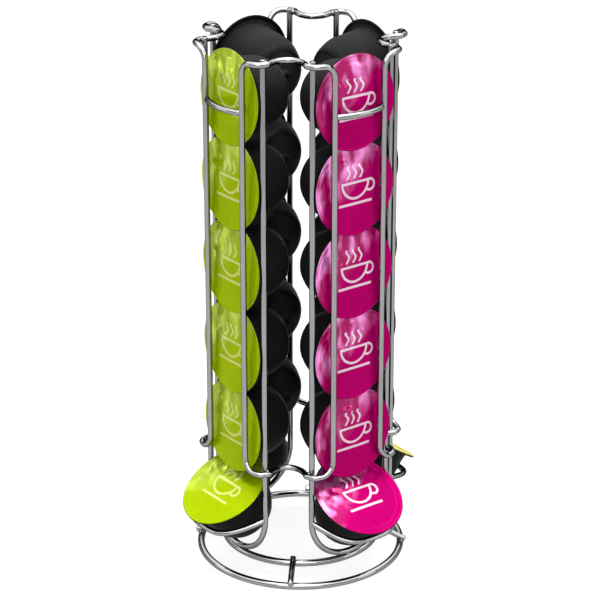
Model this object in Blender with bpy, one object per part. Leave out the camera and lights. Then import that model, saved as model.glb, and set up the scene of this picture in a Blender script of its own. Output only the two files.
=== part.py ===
"""Blender source of a wire tower that stores and hands out drink capsules.

Metres, +Z up, origin on the tower's axis at the surface that it stands on.
Four upright channels face front (-Y), right (+X), back (+Y) and left (-X).
Each channel holds a column of capsules over one more that lies in its tray.
In a channel, reach is the distance out from the axis and side is across it.
"""

import math

import bpy
from mathutils import Matrix, Vector

# Wires
wire_diameter = 0.0034
ring_wire_diameter = 0.0040
part_gap = 0.0003
wire_side_count = 8

# Capsules: a rim, a long tapering wall, a rounded shoulder and a cone out to the nozzle
capsule_rim_radius = 0.0270
capsule_rim_thickness = 0.0012
capsule_rim_width = 0.0053
capsule_wall_depth = 0.0200
capsule_wall_taper = 0.0011
capsule_shoulder_run = 0.0073
capsule_shoulder_inset = 0.0035
capsule_end_run = 0.0020
capsule_end_inset = 0.0017
capsule_cone_run = 0.0042
capsule_cone_radius = 0.0050
capsule_nozzle_run = 0.0020
capsule_nozzle_radius = 0.0034
capsule_bore_radius = 0.0013
capsule_bore_depth = 0.0030
capsule_side_count = 18
sharp_edge_angle = math.radians(35.0)

# Columns of capsules, each rim standing on the next capsule's neck
column_count = 5
column_play = 0.00015
shoulder_room = 0.00455
column_tilt = math.radians(2.5)
foot_rim_share = 1.359

# Channels: hairpins behind the rims and the loops' uprights in front of them
hairpin_side_inset = 0.0003
hairpin_top_rise = 0.0001
hairpin_bend_steps = 14
front_room = 0.00175
front_wire_side = 0.0169

# Loops between the channels: an upper and a lower wave joined by two uprights
loop_crest_drop = 0.0022
loop_foot_share = 0.622
loop_corner_radius = 0.0080
valley_dip = 0.0075
hump_rise_share = 0.702
hump_rise_wrap_share = 0.426
hump_wrap_shares = (
    (1.048, 1.307),
    (1.264, 0.496),
    (1.020, -0.098),
    (0.723, -0.747),
    (-0.169, -1.098),
)
valley_side_shares = (0.681, 0.434)
corner_steps = 4
wave_steps = 8
plan_steps = 8

# Trays: the lowest capsules lie in the hairpins' bends and on bowed lips
tray_lid_out_share = 0.356
tray_lid_rise_share = 0.489
tray_lid_tilt = math.radians(57.0)
lip_end_drop = 0.0009
lip_depth = 0.0103
lip_room = 0.0009
lip_square_power = 3.6
lip_end_clearance = 0.0007
lip_steps = 7

# Bars across the top capsules
bar_drop = 0.0045
bar_bow = 0.0034
bar_end_clearance = 0.0006
bar_steps = 8

# Base: a low outer ring, a raised inner ring and sloping spokes over both
inner_ring_height = 0.0093
inner_ring_inset = 0.0008
ring_spread = 0.0144
ring_steps = 48
spoke_overhang = 0.0016
spoke_turn = math.radians(2.3)
spoke_lift = 0.0001

# Colours are linear red, green, blue and alpha
steel_colour = (0.62, 0.62, 0.63, 1.0)
steel_roughness = 0.12
steel_metallic = 1.0
cup_colour = (0.012, 0.012, 0.012, 1.0)
cup_roughness = 0.42
foil_roughness = 0.30
foil_metallic = 0.35
foil_colours = {
    "front": (0.62, 0.012, 0.22, 1.0),
    "right": (0.78, 0.74, 0.03, 1.0),
    "back": (0.62, 0.012, 0.22, 1.0),
    "left": (0.42, 0.55, 0.005, 1.0),
}

channel_angles = {
    "front": -math.pi / 2,
    "right": 0.0,
    "back": math.pi / 2,
    "left": math.pi,
}
diagonal_angles = {
    "front_right": -math.pi / 4,
    "back_right": math.pi / 4,
    "back_left": 3 * math.pi / 4,
    "front_left": -3 * math.pi / 4,
}

wire_radius = wire_diameter / 2
ring_wire_radius = ring_wire_diameter / 2
flat_share = math.cos(math.pi / wire_side_count)

# Radii of a capsule behind its rim, and its depth
capsule_neck_radius = capsule_rim_radius - capsule_rim_width
capsule_wall_radius = capsule_neck_radius - capsule_wall_taper
capsule_shoulder_radius = capsule_wall_radius - capsule_shoulder_inset
capsule_shoulder_depth = capsule_wall_depth + capsule_shoulder_run
capsule_end_radius = capsule_shoulder_radius - capsule_end_inset
capsule_end_depth = capsule_shoulder_depth + capsule_end_run
capsule_cone_depth = capsule_end_depth + capsule_cone_run
capsule_depth = capsule_cone_depth + capsule_nozzle_run

# Reach: the shoulders of neighbouring channels' capsules clear each other
column_reach = shoulder_room + capsule_shoulder_radius + capsule_shoulder_depth
hairpin_reach = column_reach - column_play - capsule_rim_thickness - part_gap - wire_radius
front_wire_reach = column_reach + front_room + wire_radius
inner_ring_reach = hairpin_reach - inner_ring_inset
outer_ring_reach = inner_ring_reach + ring_spread
spoke_rise_angle = math.atan2(inner_ring_height - ring_wire_radius, ring_spread)

# Heights: the hairpins' bends stand on the inner ring and carry the trays and columns
hairpin_side = capsule_rim_radius - hairpin_side_inset
hairpin_bend_foot = inner_ring_height + ring_wire_radius + part_gap
hairpin_bend_height = hairpin_bend_foot + wire_radius + hairpin_side
tray_lid_reach = hairpin_reach + capsule_rim_radius * tray_lid_out_share
tray_lid_height = hairpin_bend_height + capsule_rim_radius * tray_lid_rise_share
lowest_lid_height = tray_lid_height + capsule_rim_radius * foot_rim_share
column_pitch = capsule_rim_radius + capsule_neck_radius + part_gap
top_lid_height = lowest_lid_height + column_pitch * (column_count - 1)
hairpin_top_height = top_lid_height + capsule_rim_radius + hairpin_top_rise
loop_crest_height = hairpin_top_height - loop_crest_drop
loop_foot_height = tray_lid_height + capsule_rim_radius * loop_foot_share
bar_height = top_lid_height - bar_drop


def clear_scene():
    """Remove what the start-up scene holds."""
    for old in list(bpy.data.objects):
        bpy.data.objects.remove(old, do_unlink=True)


def make_material(name, colour, roughness, metallic):
    """One Principled material."""
    material = bpy.data.materials.new(name)
    material.use_nodes = True
    shader = material.node_tree.nodes["Principled BSDF"]
    shader.inputs["Base Color"].default_value = colour
    shader.inputs["Roughness"].default_value = roughness
    shader.inputs["Metallic"].default_value = metallic
    return material


def link_object(name, data, angle=0.0):
    """Put new data in the scene under its node name, turned about the tower's axis."""
    made = bpy.data.objects.new(name, data)
    made.matrix_world = Matrix.Rotation(angle, 4, "Z")
    bpy.context.scene.collection.objects.link(made)
    return made


def make_wire(name, points, radius, material, closed=False, turn=0.0, angle=0.0):
    """A round wire along points, which start at the channel or diagonal on +X."""
    curve = bpy.data.curves.new(name, "CURVE")
    curve.dimensions = "3D"
    curve.bevel_depth = radius
    curve.bevel_resolution = (wire_side_count - 4) // 2
    curve.use_fill_caps = not closed
    spline = curve.splines.new("POLY")
    spline.points.add(len(points) - 1)
    for slot, point in zip(spline.points, points):
        slot.co = (*point, 1.0)
        slot.tilt = turn
    spline.use_cyclic_u = closed
    spline.use_smooth = True
    curve.materials.append(material)
    return link_object(name, curve, angle)


def smooth_plan(knots, steps):
    """A smooth curve through plan points, the last of which lies on the mirror line."""
    found = []
    last = len(knots) - 1
    for index in range(last):
        before = knots[max(index - 1, 0)]
        start = knots[index]
        end = knots[index + 1]
        after = knots[min(index + 2, last)]
        if index + 2 > last:
            after = Vector((start.x, -start.y))
        for step in range(steps):
            share = step / steps
            found.append(
                start * ((share - 1) ** 2 * (2 * share + 1))
                + end * (share**2 * (3 - 2 * share))
                + (end - before) * (share * (share - 1) ** 2 / 2)
                + (after - start) * (share**2 * (share - 1) / 2)
            )
    found.append(knots[-1])
    return found


def wave_knots():
    """Plan points of half a wave, from an upright over the hump round a leg to the valley."""
    upright_reach = (front_wire_reach + front_wire_side) / math.sqrt(2)
    upright_side = (front_wire_reach - front_wire_side) / math.sqrt(2)
    leg_reach = (hairpin_reach + hairpin_side) / math.sqrt(2)
    leg_side = (hairpin_reach - hairpin_side) / math.sqrt(2)
    wrap = wire_diameter + part_gap
    rise_side = leg_side + (upright_side - leg_side) * hump_rise_share
    knots = [
        Vector((upright_reach, upright_side)),
        Vector((leg_reach + wrap * hump_rise_wrap_share, rise_side)),
    ]
    for reach_share, side_share in hump_wrap_shares:
        knots.append(Vector((leg_reach + wrap * reach_share, leg_side + wrap * side_share)))
    dip_share, side_share = valley_side_shares
    knots.append(Vector((leg_reach - valley_dip * dip_share, leg_side * side_share)))
    knots.append(Vector((leg_reach - valley_dip, 0.0)))
    return knots


def half_wave(height, turn_down):
    """Half of a loop's wave, from an upright over one hump to the valley's middle."""
    plan = smooth_plan(wave_knots(), plan_steps)
    travelled = [0.0]
    for first, second in zip(plan, plan[1:]):
        travelled.append(travelled[-1] + (second - first).length)
    wanted = []
    for step in range(corner_steps + 1):
        turned = math.pi / 2 * step / corner_steps
        wanted.append(loop_corner_radius * (1 - math.cos(turned)))
    rest = travelled[-1] - loop_corner_radius
    for step in range(1, wave_steps + 1):
        wanted.append(loop_corner_radius + rest * step / wave_steps)
    points = []
    for distance in wanted:
        index = sum(1 for value in travelled[1:-1] if value < distance)
        span = travelled[index + 1] - travelled[index]
        spot = plan[index].lerp(plan[index + 1], (distance - travelled[index]) / span)
        left = max(loop_corner_radius - distance, 0.0)
        drop = loop_corner_radius - math.sqrt(loop_corner_radius**2 - left**2)
        rise = -drop if turn_down else drop
        points.append(Vector((spot.x, spot.y, height + rise)))
    return points


def mirrored(points):
    """The same points on the other side, in the opposite order."""
    return [Vector((point.x, -point.y, point.z)) for point in reversed(points)]


def loop_points():
    """A closed loop: up one side, over the upper wave, down, and back under."""
    upper = half_wave(loop_crest_height, True)
    lower = half_wave(loop_foot_height, False)
    across = upper + mirrored(upper)[1:]
    back = lower + mirrored(lower)[1:]
    return across + back[::-1]


def hairpin_points():
    """Down one leg, round half a circle and up the other leg."""
    points = [Vector((hairpin_reach, -hairpin_side, hairpin_top_height))]
    for step in range(hairpin_bend_steps + 1):
        angle = math.pi * step / hairpin_bend_steps
        side = -hairpin_side * math.cos(angle)
        height = hairpin_bend_height - hairpin_side * math.sin(angle)
        points.append(Vector((hairpin_reach, side, height)))
    points.append(Vector((hairpin_reach, hairpin_side, hairpin_top_height)))
    return points


def lip_front():
    """Reach and height of a lip's front, under the wall of the capsule in the tray."""
    wall_share = (lip_depth - capsule_rim_thickness) / (capsule_wall_depth - capsule_rim_thickness)
    beside = capsule_neck_radius - capsule_wall_taper * wall_share + wire_radius + lip_room
    reach = tray_lid_reach + beside * math.sin(tray_lid_tilt) - lip_depth * math.cos(tray_lid_tilt)
    drop = beside * math.cos(tray_lid_tilt) + lip_depth * math.sin(tray_lid_tilt)
    return reach, tray_lid_height - drop


def lip_points():
    """From one hairpin leg out round the tray's squared-off front and back."""
    front_reach, front_height = lip_front()
    end_height = hairpin_bend_height - lip_end_drop
    run = front_reach - hairpin_reach
    start_share = (wire_radius + part_gap + lip_end_clearance) / run
    start_angle = math.asin(math.sqrt(start_share))
    points = []
    for step in range(2 * lip_steps + 1):
        angle = start_angle + (math.pi - 2 * start_angle) * step / (2 * lip_steps)
        across = math.cos(angle)
        side = math.copysign(abs(across) ** (2 / lip_square_power), across) * hairpin_side
        share = math.sin(angle) ** 2
        height = end_height + (front_height - end_height) * share
        points.append(Vector((hairpin_reach + run * share, side, height)))
    return points


def bar_points():
    """A short bar bowed outwards between the two front uprights of a channel."""
    end_side = front_wire_side - wire_radius - part_gap - bar_end_clearance
    points = []
    for step in range(bar_steps + 1):
        share = 2 * step / bar_steps - 1
        reach = front_wire_reach + bar_bow * (1 - share**2)
        points.append(Vector((reach, end_side * share, bar_height)))
    return points


def ring_points(reach, height):
    """Points round the tower's axis."""
    turns = [2 * math.pi * (step + 0.5) / ring_steps for step in range(ring_steps)]
    reach_out = reach / math.cos(math.pi / ring_steps)
    return [Vector((reach_out * math.cos(t), reach_out * math.sin(t), height)) for t in turns]


def spoke_points():
    """A straight spoke lying over the inner and the outer ring."""
    along = Vector((-math.cos(spoke_rise_angle), 0.0, math.sin(spoke_rise_angle)))
    over = Vector((math.sin(spoke_rise_angle), 0.0, math.cos(spoke_rise_angle)))
    clear = wire_radius + ring_wire_radius / flat_share + part_gap + spoke_lift
    outer = Vector((outer_ring_reach, 0.0, ring_wire_radius)) + over * clear
    inner = Vector((inner_ring_reach, 0.0, inner_ring_height)) + over * clear
    run = (inner - outer).dot(along)
    return [outer - along * spoke_overhang, outer + along * (run + spoke_overhang)]


def capsule_profile():
    """Depth behind the lid's face and radius, from the face's middle round to the nozzle."""
    return [
        (0.0, capsule_rim_radius),
        (capsule_rim_thickness, capsule_rim_radius),
        (capsule_rim_thickness, capsule_neck_radius),
        (capsule_wall_depth, capsule_wall_radius),
        (capsule_shoulder_depth, capsule_shoulder_radius),
        (capsule_end_depth, capsule_end_radius),
        (capsule_cone_depth, capsule_cone_radius),
        (capsule_depth, capsule_nozzle_radius),
        (capsule_depth, capsule_bore_radius),
    ]


def make_capsule_mesh(name, cup, foil):
    """One capsule turned about its own axis, with its lid's middle at its origin."""
    profile = capsule_profile()
    vertices = [(0.0, 0.0, 0.0)]
    for depth, radius in profile:
        for step in range(capsule_side_count):
            angle = 2 * math.pi * step / capsule_side_count
            vertices.append((radius * math.cos(angle), radius * math.sin(angle), -depth))
    vertices.append((0.0, 0.0, capsule_bore_depth - capsule_depth))
    faces = []
    for step in range(capsule_side_count):
        following = (step + 1) % capsule_side_count
        faces.append((0, 1 + step, 1 + following))
        for row in range(len(profile) - 1):
            near = 1 + row * capsule_side_count
            far = near + capsule_side_count
            faces.append((near + step, far + step, far + following, near + following))
        end = 1 + (len(profile) - 1) * capsule_side_count
        faces.append((end + step, len(vertices) - 1, end + following))
    mesh = bpy.data.meshes.new(name)
    mesh.from_pydata(vertices, [], faces)
    mesh.materials.append(cup)
    mesh.materials.append(foil)
    for polygon in mesh.polygons:
        polygon.material_index = 1 if 0 in polygon.vertices else 0
    mesh.shade_smooth()
    mesh.set_sharp_from_angle(angle=sharp_edge_angle)
    mesh.validate()
    return mesh


def lid_frame(angle, reach, height, tilt):
    """Place of a capsule: its +Z leaves through the lid, tilted up from level."""
    facing = Matrix.Rotation(angle, 4, "Z")
    lean = Matrix.Rotation(math.pi / 2 - tilt, 4, "Y")
    return facing @ Matrix.Translation((reach, 0.0, height)) @ lean


def make_column(channel, angle, cup, foil):
    """The capsules of one channel, numbered from the top down, and the one in its tray."""
    mesh = make_capsule_mesh(f"{channel}_capsule", cup, foil)
    for number in range(1, column_count + 1):
        height = lowest_lid_height + column_pitch * (column_count - number)
        made = link_object(f"{channel}_capsule_{number}", mesh)
        made.matrix_world = lid_frame(angle, column_reach, height, column_tilt)
    made = link_object(f"{channel}_tray_capsule", mesh)
    made.matrix_world = lid_frame(angle, tray_lid_reach, tray_lid_height, tray_lid_tilt)


def main():
    """Build every piece of the tower."""
    clear_scene()
    steel = make_material("bright_wire", steel_colour, steel_roughness, steel_metallic)
    cup = make_material("capsule_cup", cup_colour, cup_roughness, 0.0)
    ring_radius = ring_wire_radius / flat_share
    flat_turn = math.pi / wire_side_count
    outer = ring_points(outer_ring_reach, ring_wire_radius)
    inner = ring_points(inner_ring_reach, inner_ring_height)
    make_wire("outer_ring", outer, ring_radius, steel, True, flat_turn)
    make_wire("inner_ring", inner, ring_radius, steel, True, flat_turn)
    for name, angle in diagonal_angles.items():
        make_wire(f"{name}_loop", loop_points(), wire_radius, steel, True, 0.0, angle)
        spoke_angle = angle + spoke_turn
        make_wire(f"{name}_spoke", spoke_points(), wire_radius, steel, angle=spoke_angle)
    for name, angle in channel_angles.items():
        make_wire(f"{name}_hairpin", hairpin_points(), wire_radius, steel, angle=angle)
        make_wire(f"{name}_tray_lip", lip_points(), wire_radius, steel, angle=angle)
        make_wire(f"{name}_bar", bar_points(), wire_radius, steel, angle=angle)
        colour = foil_colours[name]
        foil = make_material(f"{name}_foil", colour, foil_roughness, foil_metallic)
        make_column(name, angle, cup, foil)


main()
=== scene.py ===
"""Looks of a wire capsule tower: bright bent wire, moulded cups and printed foil lids.

Metres, +Z up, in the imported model's own frame. Four channels face front (-Y),
right (+X), back (+Y) and left (-X). In a channel, reach is the distance out
from the tower's axis and side is across it, to the right seen from outside.
"""

import logging
import math
from dataclasses import dataclass, field
from enum import Enum

import bmesh
import bpy
from mathutils import Matrix, Vector, noise

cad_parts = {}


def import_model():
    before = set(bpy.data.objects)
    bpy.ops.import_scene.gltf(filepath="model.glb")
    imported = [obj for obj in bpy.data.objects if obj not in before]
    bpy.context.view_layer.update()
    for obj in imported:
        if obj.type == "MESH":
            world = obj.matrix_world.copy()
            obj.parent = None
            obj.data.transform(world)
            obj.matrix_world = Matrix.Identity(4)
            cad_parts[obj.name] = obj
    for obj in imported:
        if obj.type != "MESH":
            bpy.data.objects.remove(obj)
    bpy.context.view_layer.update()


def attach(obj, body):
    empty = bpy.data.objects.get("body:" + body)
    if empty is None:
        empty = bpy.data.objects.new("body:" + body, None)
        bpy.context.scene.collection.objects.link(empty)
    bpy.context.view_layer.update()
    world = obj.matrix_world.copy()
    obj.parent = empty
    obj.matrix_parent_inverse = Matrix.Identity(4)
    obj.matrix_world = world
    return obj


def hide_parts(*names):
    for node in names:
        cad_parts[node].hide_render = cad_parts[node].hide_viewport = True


LOG = logging.getLogger("capsule_tower")

Colour = tuple[float, float, float]
Range = tuple[float, float]
Rows = list[tuple[float, float]]
Outline = tuple[tuple[float, float], ...]
Socket = bpy.types.NodeSocket
Ring = list[bmesh.types.BMVert]
WeldSpots = list[tuple[Vector, Vector]]

SCREEN_FULL_LEVEL = 255
SCREEN_TOE_END = 0.04045
SCREEN_TOE_SLOPE = 12.92
SCREEN_OFFSET = 0.055
SCREEN_POWER = 2.4
MILLIMETRES_IN_METRE = 1000.0
LID_PLANE = "lid_plane"


def linear_colour(code: str) -> Colour:
    """Turn a screen colour into the linear values that a shader takes.

    Args:
        code: Six hexadecimal digits, red, green, blue.

    Returns:
        Linear red, green and blue.
    """
    found = []
    for start in (0, 2, 4):
        level = int(code[start : start + 2], 16) / SCREEN_FULL_LEVEL
        if level <= SCREEN_TOE_END:
            found.append(level / SCREEN_TOE_SLOPE)
        else:
            found.append(((level + SCREEN_OFFSET) / (1 + SCREEN_OFFSET)) ** SCREEN_POWER)
    return (found[0], found[1], found[2])


class Bearing(Enum):
    """A direction out from the tower's axis, in radians from +X."""

    @property
    def label(self) -> str:
        """The direction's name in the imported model."""
        return self.name.lower()

    def turn(self, size: int, extra: float = 0.0) -> Matrix:
        """The turn that brings what is drawn towards +X to this direction.

        Args:
            size: Rows of the matrix, 3 or 4.
            extra: A further turn in radians.

        Returns:
            The turn about the tower's axis.
        """
        return Matrix.Rotation(self.value + extra, size, "Z")


class Channel(Bearing):
    """The four channels and where each faces."""

    FRONT = -math.pi / 2
    RIGHT = 0.0
    BACK = math.pi / 2
    LEFT = math.pi


class Diagonal(Bearing):
    """The four diagonals between channels, each with a loop."""

    FRONT_RIGHT = -math.pi / 4
    BACK_RIGHT = math.pi / 4
    BACK_LEFT = 3 * math.pi / 4
    FRONT_LEFT = -3 * math.pi / 4


@dataclass(frozen=True)
class CapsuleSizes:
    """One capsule: a rim, a long tapering wall, a shoulder and a cone out to the nozzle."""

    rim_radius: float = 0.0270
    rim_thickness: float = 0.0012
    rim_width: float = 0.0053
    wall_depth: float = 0.0200
    wall_taper: float = 0.0011
    shoulder_run: float = 0.0073
    shoulder_inset: float = 0.0035
    end_run: float = 0.0020
    end_inset: float = 0.0017
    cone_run: float = 0.0042
    cone_radius: float = 0.0050
    nozzle_run: float = 0.0020
    nozzle_radius: float = 0.0034
    bore_radius: float = 0.0013
    bore_depth: float = 0.0030

    @property
    def neck_radius(self) -> float:
        """Radius just behind the rim."""
        return self.rim_radius - self.rim_width

    @property
    def wall_radius(self) -> float:
        """Radius at the wall's small end."""
        return self.neck_radius - self.wall_taper

    @property
    def shoulder_radius(self) -> float:
        """Radius at the shoulder's small end."""
        return self.wall_radius - self.shoulder_inset

    @property
    def shoulder_depth(self) -> float:
        """Depth of the shoulder's small end behind the lid's face."""
        return self.wall_depth + self.shoulder_run

    @property
    def end_radius(self) -> float:
        """Radius where the cone starts."""
        return self.shoulder_radius - self.end_inset

    @property
    def end_depth(self) -> float:
        """Depth where the cone starts."""
        return self.shoulder_depth + self.end_run

    @property
    def cone_depth(self) -> float:
        """Depth where the nozzle starts."""
        return self.end_depth + self.cone_run

    @property
    def depth(self) -> float:
        """Whole depth, to the nozzle's tip."""
        return self.cone_depth + self.nozzle_run


@dataclass(frozen=True)
class TowerPlan:
    """The sizes that the stand and the capsules share, and the places they lead to."""

    capsule: CapsuleSizes = field(default_factory=CapsuleSizes)
    wire_diameter: float = 0.0034
    ring_wire_diameter: float = 0.0040
    part_gap: float = 0.0003
    column_count: int = 5
    column_play: float = 0.00015
    shoulder_room: float = 0.00455
    column_tilt: float = math.radians(2.5)
    foot_rim_share: float = 1.359
    hairpin_side_inset: float = 0.0003
    hairpin_top_rise: float = 0.0001
    front_room: float = 0.00175
    front_wire_side: float = 0.0169
    inner_ring_height: float = 0.0093
    inner_ring_inset: float = 0.0008
    ring_spread: float = 0.0144
    tray_lid_out_share: float = 0.356
    tray_lid_rise_share: float = 0.489
    tray_lid_tilt: float = math.radians(57.0)

    @property
    def wire_radius(self) -> float:
        """Radius of the thinner wire."""
        return self.wire_diameter / 2

    @property
    def ring_wire_radius(self) -> float:
        """Radius of the rings' wire."""
        return self.ring_wire_diameter / 2

    @property
    def column_reach(self) -> float:
        """Reach of a column's lids."""
        return self.shoulder_room + self.capsule.shoulder_radius + self.capsule.shoulder_depth

    @property
    def hairpin_reach(self) -> float:
        """Reach of the hairpins, behind the columns' rims."""
        rims_back = self.column_reach - self.column_play - self.capsule.rim_thickness
        return rims_back - self.part_gap - self.wire_radius

    @property
    def hairpin_side(self) -> float:
        """How far to the side a hairpin's legs stand."""
        return self.capsule.rim_radius - self.hairpin_side_inset

    @property
    def front_wire_reach(self) -> float:
        """Reach of the loops' uprights, in front of the columns' rims."""
        return self.column_reach + self.front_room + self.wire_radius

    @property
    def inner_ring_reach(self) -> float:
        """Radius of the inner ring."""
        return self.hairpin_reach - self.inner_ring_inset

    @property
    def outer_ring_reach(self) -> float:
        """Radius of the outer ring."""
        return self.inner_ring_reach + self.ring_spread

    @property
    def hairpin_bend_height(self) -> float:
        """Height where a hairpin's legs go over into its bend."""
        foot = self.inner_ring_height + self.ring_wire_radius + self.part_gap
        return foot + self.wire_radius + self.hairpin_side

    @property
    def tray_lid_reach(self) -> float:
        """Reach of a tray capsule's lid."""
        return self.hairpin_reach + self.capsule.rim_radius * self.tray_lid_out_share

    @property
    def tray_lid_height(self) -> float:
        """Height of a tray capsule's lid."""
        return self.hairpin_bend_height + self.capsule.rim_radius * self.tray_lid_rise_share

    @property
    def column_pitch(self) -> float:
        """Height from one lid of a column to the next."""
        return self.capsule.rim_radius + self.capsule.neck_radius + self.part_gap

    def lid_height(self, number: int) -> float:
        """Height of a lid in a column.

        Args:
            number: The capsule's number, counted from the top.

        Returns:
            The height of the lid's middle.
        """
        lowest = self.tray_lid_height + self.capsule.rim_radius * self.foot_rim_share
        return lowest + self.column_pitch * (self.column_count - number)

    @property
    def hairpin_top_height(self) -> float:
        """Height of the hairpins' cut ends, the tower's highest point."""
        return self.lid_height(1) + self.capsule.rim_radius + self.hairpin_top_rise


class NodeBoard:
    """A small helper that places shader nodes and joins them."""

    noise_middle: Range = (0.3, 0.7)
    mix_colour_slots: tuple[int, int] = (6, 7)
    mix_colour_result: int = 2

    def __init__(self, tree: bpy.types.NodeTree, output: str) -> None:
        """Clear a node tree and place its output.

        Args:
            tree: The node tree.
            output: The output node's type without the leading ShaderNode.
        """
        self.tree = tree
        self.tree.nodes.clear()
        self.output = self.add(output)

    def add(self, kind: str, **settings: object) -> bpy.types.Node:
        """Place one node.

        Args:
            kind: The node's type without the leading ShaderNode.
            settings: Properties to set on the node.

        Returns:
            The new node.
        """
        node = self.tree.nodes.new("ShaderNode" + kind)
        for key, value in settings.items():
            setattr(node, key, value)
        return node

    def join(self, source: Socket, target: Socket) -> None:
        """Link one socket to another."""
        self.tree.links.new(source, target)

    def feed(self, slot: Socket, value: object) -> None:
        """Link an input to a socket, or else set it.

        Args:
            slot: The input.
            value: A socket, number or colour.
        """
        if isinstance(value, Socket):
            self.join(value, slot)
        else:
            slot.default_value = value

    def math(self, operation: str, *values: object, clamp: bool = False) -> Socket:
        """Place a Math node.

        Args:
            operation: The Math node's operation.
            values: Sockets or numbers for its inputs.
            clamp: Whether the result is held between 0 and 1.

        Returns:
            The result's socket.
        """
        node = self.add("Math", operation=operation, use_clamp=clamp)
        for slot, value in zip(node.inputs, values):
            self.feed(slot, value)
        return node.outputs[0]

    def gap(self, first: object, second: object) -> Socket:
        """How far two levels lie apart."""
        return self.math("ABSOLUTE", self.math("SUBTRACT", first, second))

    def noise_level(self, scale: float, detail: float, upright: float = 1.0) -> Socket:
        """Place a noise texture on the piece's own coordinates.

        Args:
            scale: Spots per metre.
            detail: Octaves of finer noise.
            upright: Share of the scale that holds up and down; less makes tall spots.

        Returns:
            The noise level's socket.
        """
        place = self.add("TexCoord")
        turned = self.add("Mapping")
        turned.inputs["Scale"].default_value = (1.0, 1.0, upright)
        texture = self.add("TexNoise")
        texture.inputs["Scale"].default_value = scale
        texture.inputs["Detail"].default_value = detail
        self.join(place.outputs["Object"], turned.inputs["Vector"])
        self.join(turned.outputs["Vector"], texture.inputs["Vector"])
        return texture.outputs["Fac"]

    def ramp(self, level: Socket, source: Range, target: Range) -> Socket:
        """Map a level from one range to another and hold it there.

        Args:
            level: The level's socket.
            source: The level's range.
            target: The result at each end of that range.

        Returns:
            The mapped level's socket.
        """
        node = self.add("MapRange")
        for title, value in zip(("From Min", "From Max", "To Min", "To Max"), (*source, *target)):
            node.inputs[title].default_value = value
        self.join(level, node.inputs["Value"])
        return node.outputs["Result"]

    def spread(self, level: Socket, low: float = 0.0, high: float = 1.0) -> Socket:
        """Map a noise level from the middle of its range to low and high.

        Args:
            level: The noise level's socket.
            low: The result at the middle range's lower end.
            high: The result at its upper end.

        Returns:
            The mapped level's socket.
        """
        return self.ramp(level, self.noise_middle, (low, high))

    def coordinates(self, attribute: str) -> list[Socket]:
        """Read each point's place from a mesh attribute.

        Args:
            attribute: The attribute's name.

        Returns:
            The sockets of its three coordinates.
        """
        place = self.add("Attribute", attribute_name=attribute, attribute_type="GEOMETRY")
        split = self.add("SeparateXYZ")
        self.join(place.outputs["Vector"], split.inputs[0])
        return list(split.outputs)

    def blend(self, level: Socket, first: object, second: object) -> Socket:
        """Mix two colours by a level.

        Args:
            level: The mix level's socket.
            first: Colour or socket at 0.
            second: Colour or socket at 1.

        Returns:
            The mixed colour's socket.
        """
        node = self.add("Mix", data_type="RGBA")
        self.join(level, node.inputs[0])
        for slot, value in zip(self.mix_colour_slots, (first, second)):
            self.feed(node.inputs[slot], value if isinstance(value, Socket) else (*value, 1.0))
        return node.outputs[self.mix_colour_result]

    def bump(self, height: Socket, distance: float, strength: float) -> Socket:
        """Place a Bump node.

        Args:
            height: The height's socket.
            distance: Depth of the relief in metres.
            strength: Share of the relief that shows.

        Returns:
            The normal's socket.
        """
        node = self.add("Bump")
        node.inputs["Distance"].default_value = distance
        node.inputs["Strength"].default_value = strength
        self.join(height, node.inputs["Height"])
        return node.outputs["Normal"]

    def distance(self, across: Socket, upward: Socket, middle: tuple[float, float]) -> Socket:
        """Distance in a plane from a point.

        Args:
            across: The first coordinate's socket.
            upward: The second coordinate's socket.
            middle: The point.

        Returns:
            The distance's socket.
        """
        aside, above = self.gap(across, middle[0]), self.gap(upward, middle[1])
        squares = (self.math("POWER", aside, 2.0), self.math("POWER", above, 2.0))
        return self.math("SQRT", self.math("ADD", *squares))

    def share_between(self, share: Socket, low: float, high: float) -> Socket:
        """Turn a share into the level that lies so far from low to high.

        Args:
            share: The share's socket.
            low: The level at a share of 0.
            high: The level at a share of 1.

        Returns:
            The level's socket.
        """
        return self.math("ADD", self.math("MULTIPLY", share, high - low), low)


class FinishBoard(NodeBoard):
    """The node helper of one material, with the material and its Principled shader."""

    def __init__(self, name: str) -> None:
        """Start a material.

        Args:
            name: The material's name.
        """
        self.material = bpy.data.materials.new(name)
        self.material.use_nodes = True
        super().__init__(self.material.node_tree, "OutputMaterial")
        self.shader = self.add("BsdfPrincipled")
        self.join(self.shader.outputs[0], self.output.inputs["Surface"])

    def dress(self, inputs: dict[str, object]) -> None:
        """Set the shader's inputs.

        Args:
            inputs: A socket, number or colour for each named input.
        """
        for title, value in inputs.items():
            self.feed(self.shader.inputs[title], value)


@dataclass(frozen=True)
class BrightWire:
    """Plated steel wire: mirror bright, with a painted dark edge where it curves away."""

    body: Colour = (0.31, 0.31, 0.312)
    cloudy: Colour = (0.27, 0.27, 0.273)
    # A near-black edge tint: painted dark reflection at the wire's edges.
    painted_dark_edge_tint: Colour = (0.05, 0.05, 0.055)
    roughness_low: float = 0.05
    roughness_high: float = 0.12
    cloud_scale: float = 120.0
    cloud_detail: float = 3.0
    cloud_upright: float = 0.4
    ripple_scale: float = 900.0
    ripple_detail: float = 2.0
    ripple_upright: float = 0.05
    ripple_depth: float = 0.00001
    ripple_strength: float = 0.3

    def build(self) -> bpy.types.Material:
        """Build the material.

        Returns:
            The wire's material.
        """
        board = FinishBoard("bright_wire_plating")
        clouds = board.noise_level(self.cloud_scale, self.cloud_detail, self.cloud_upright)
        drawn = board.noise_level(self.ripple_scale, self.ripple_detail, self.ripple_upright)
        board.dress(
            {
                "Base Color": board.blend(board.spread(clouds), self.body, self.cloudy),
                "Roughness": board.spread(drawn, self.roughness_low, self.roughness_high),
                "Normal": board.bump(drawn, self.ripple_depth, self.ripple_strength),
                "Metallic": 1.0,
                # Painted dark reflection at the edges.
                "Specular Tint": (*self.painted_dark_edge_tint, 1.0),
            }
        )
        return board.material


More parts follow.
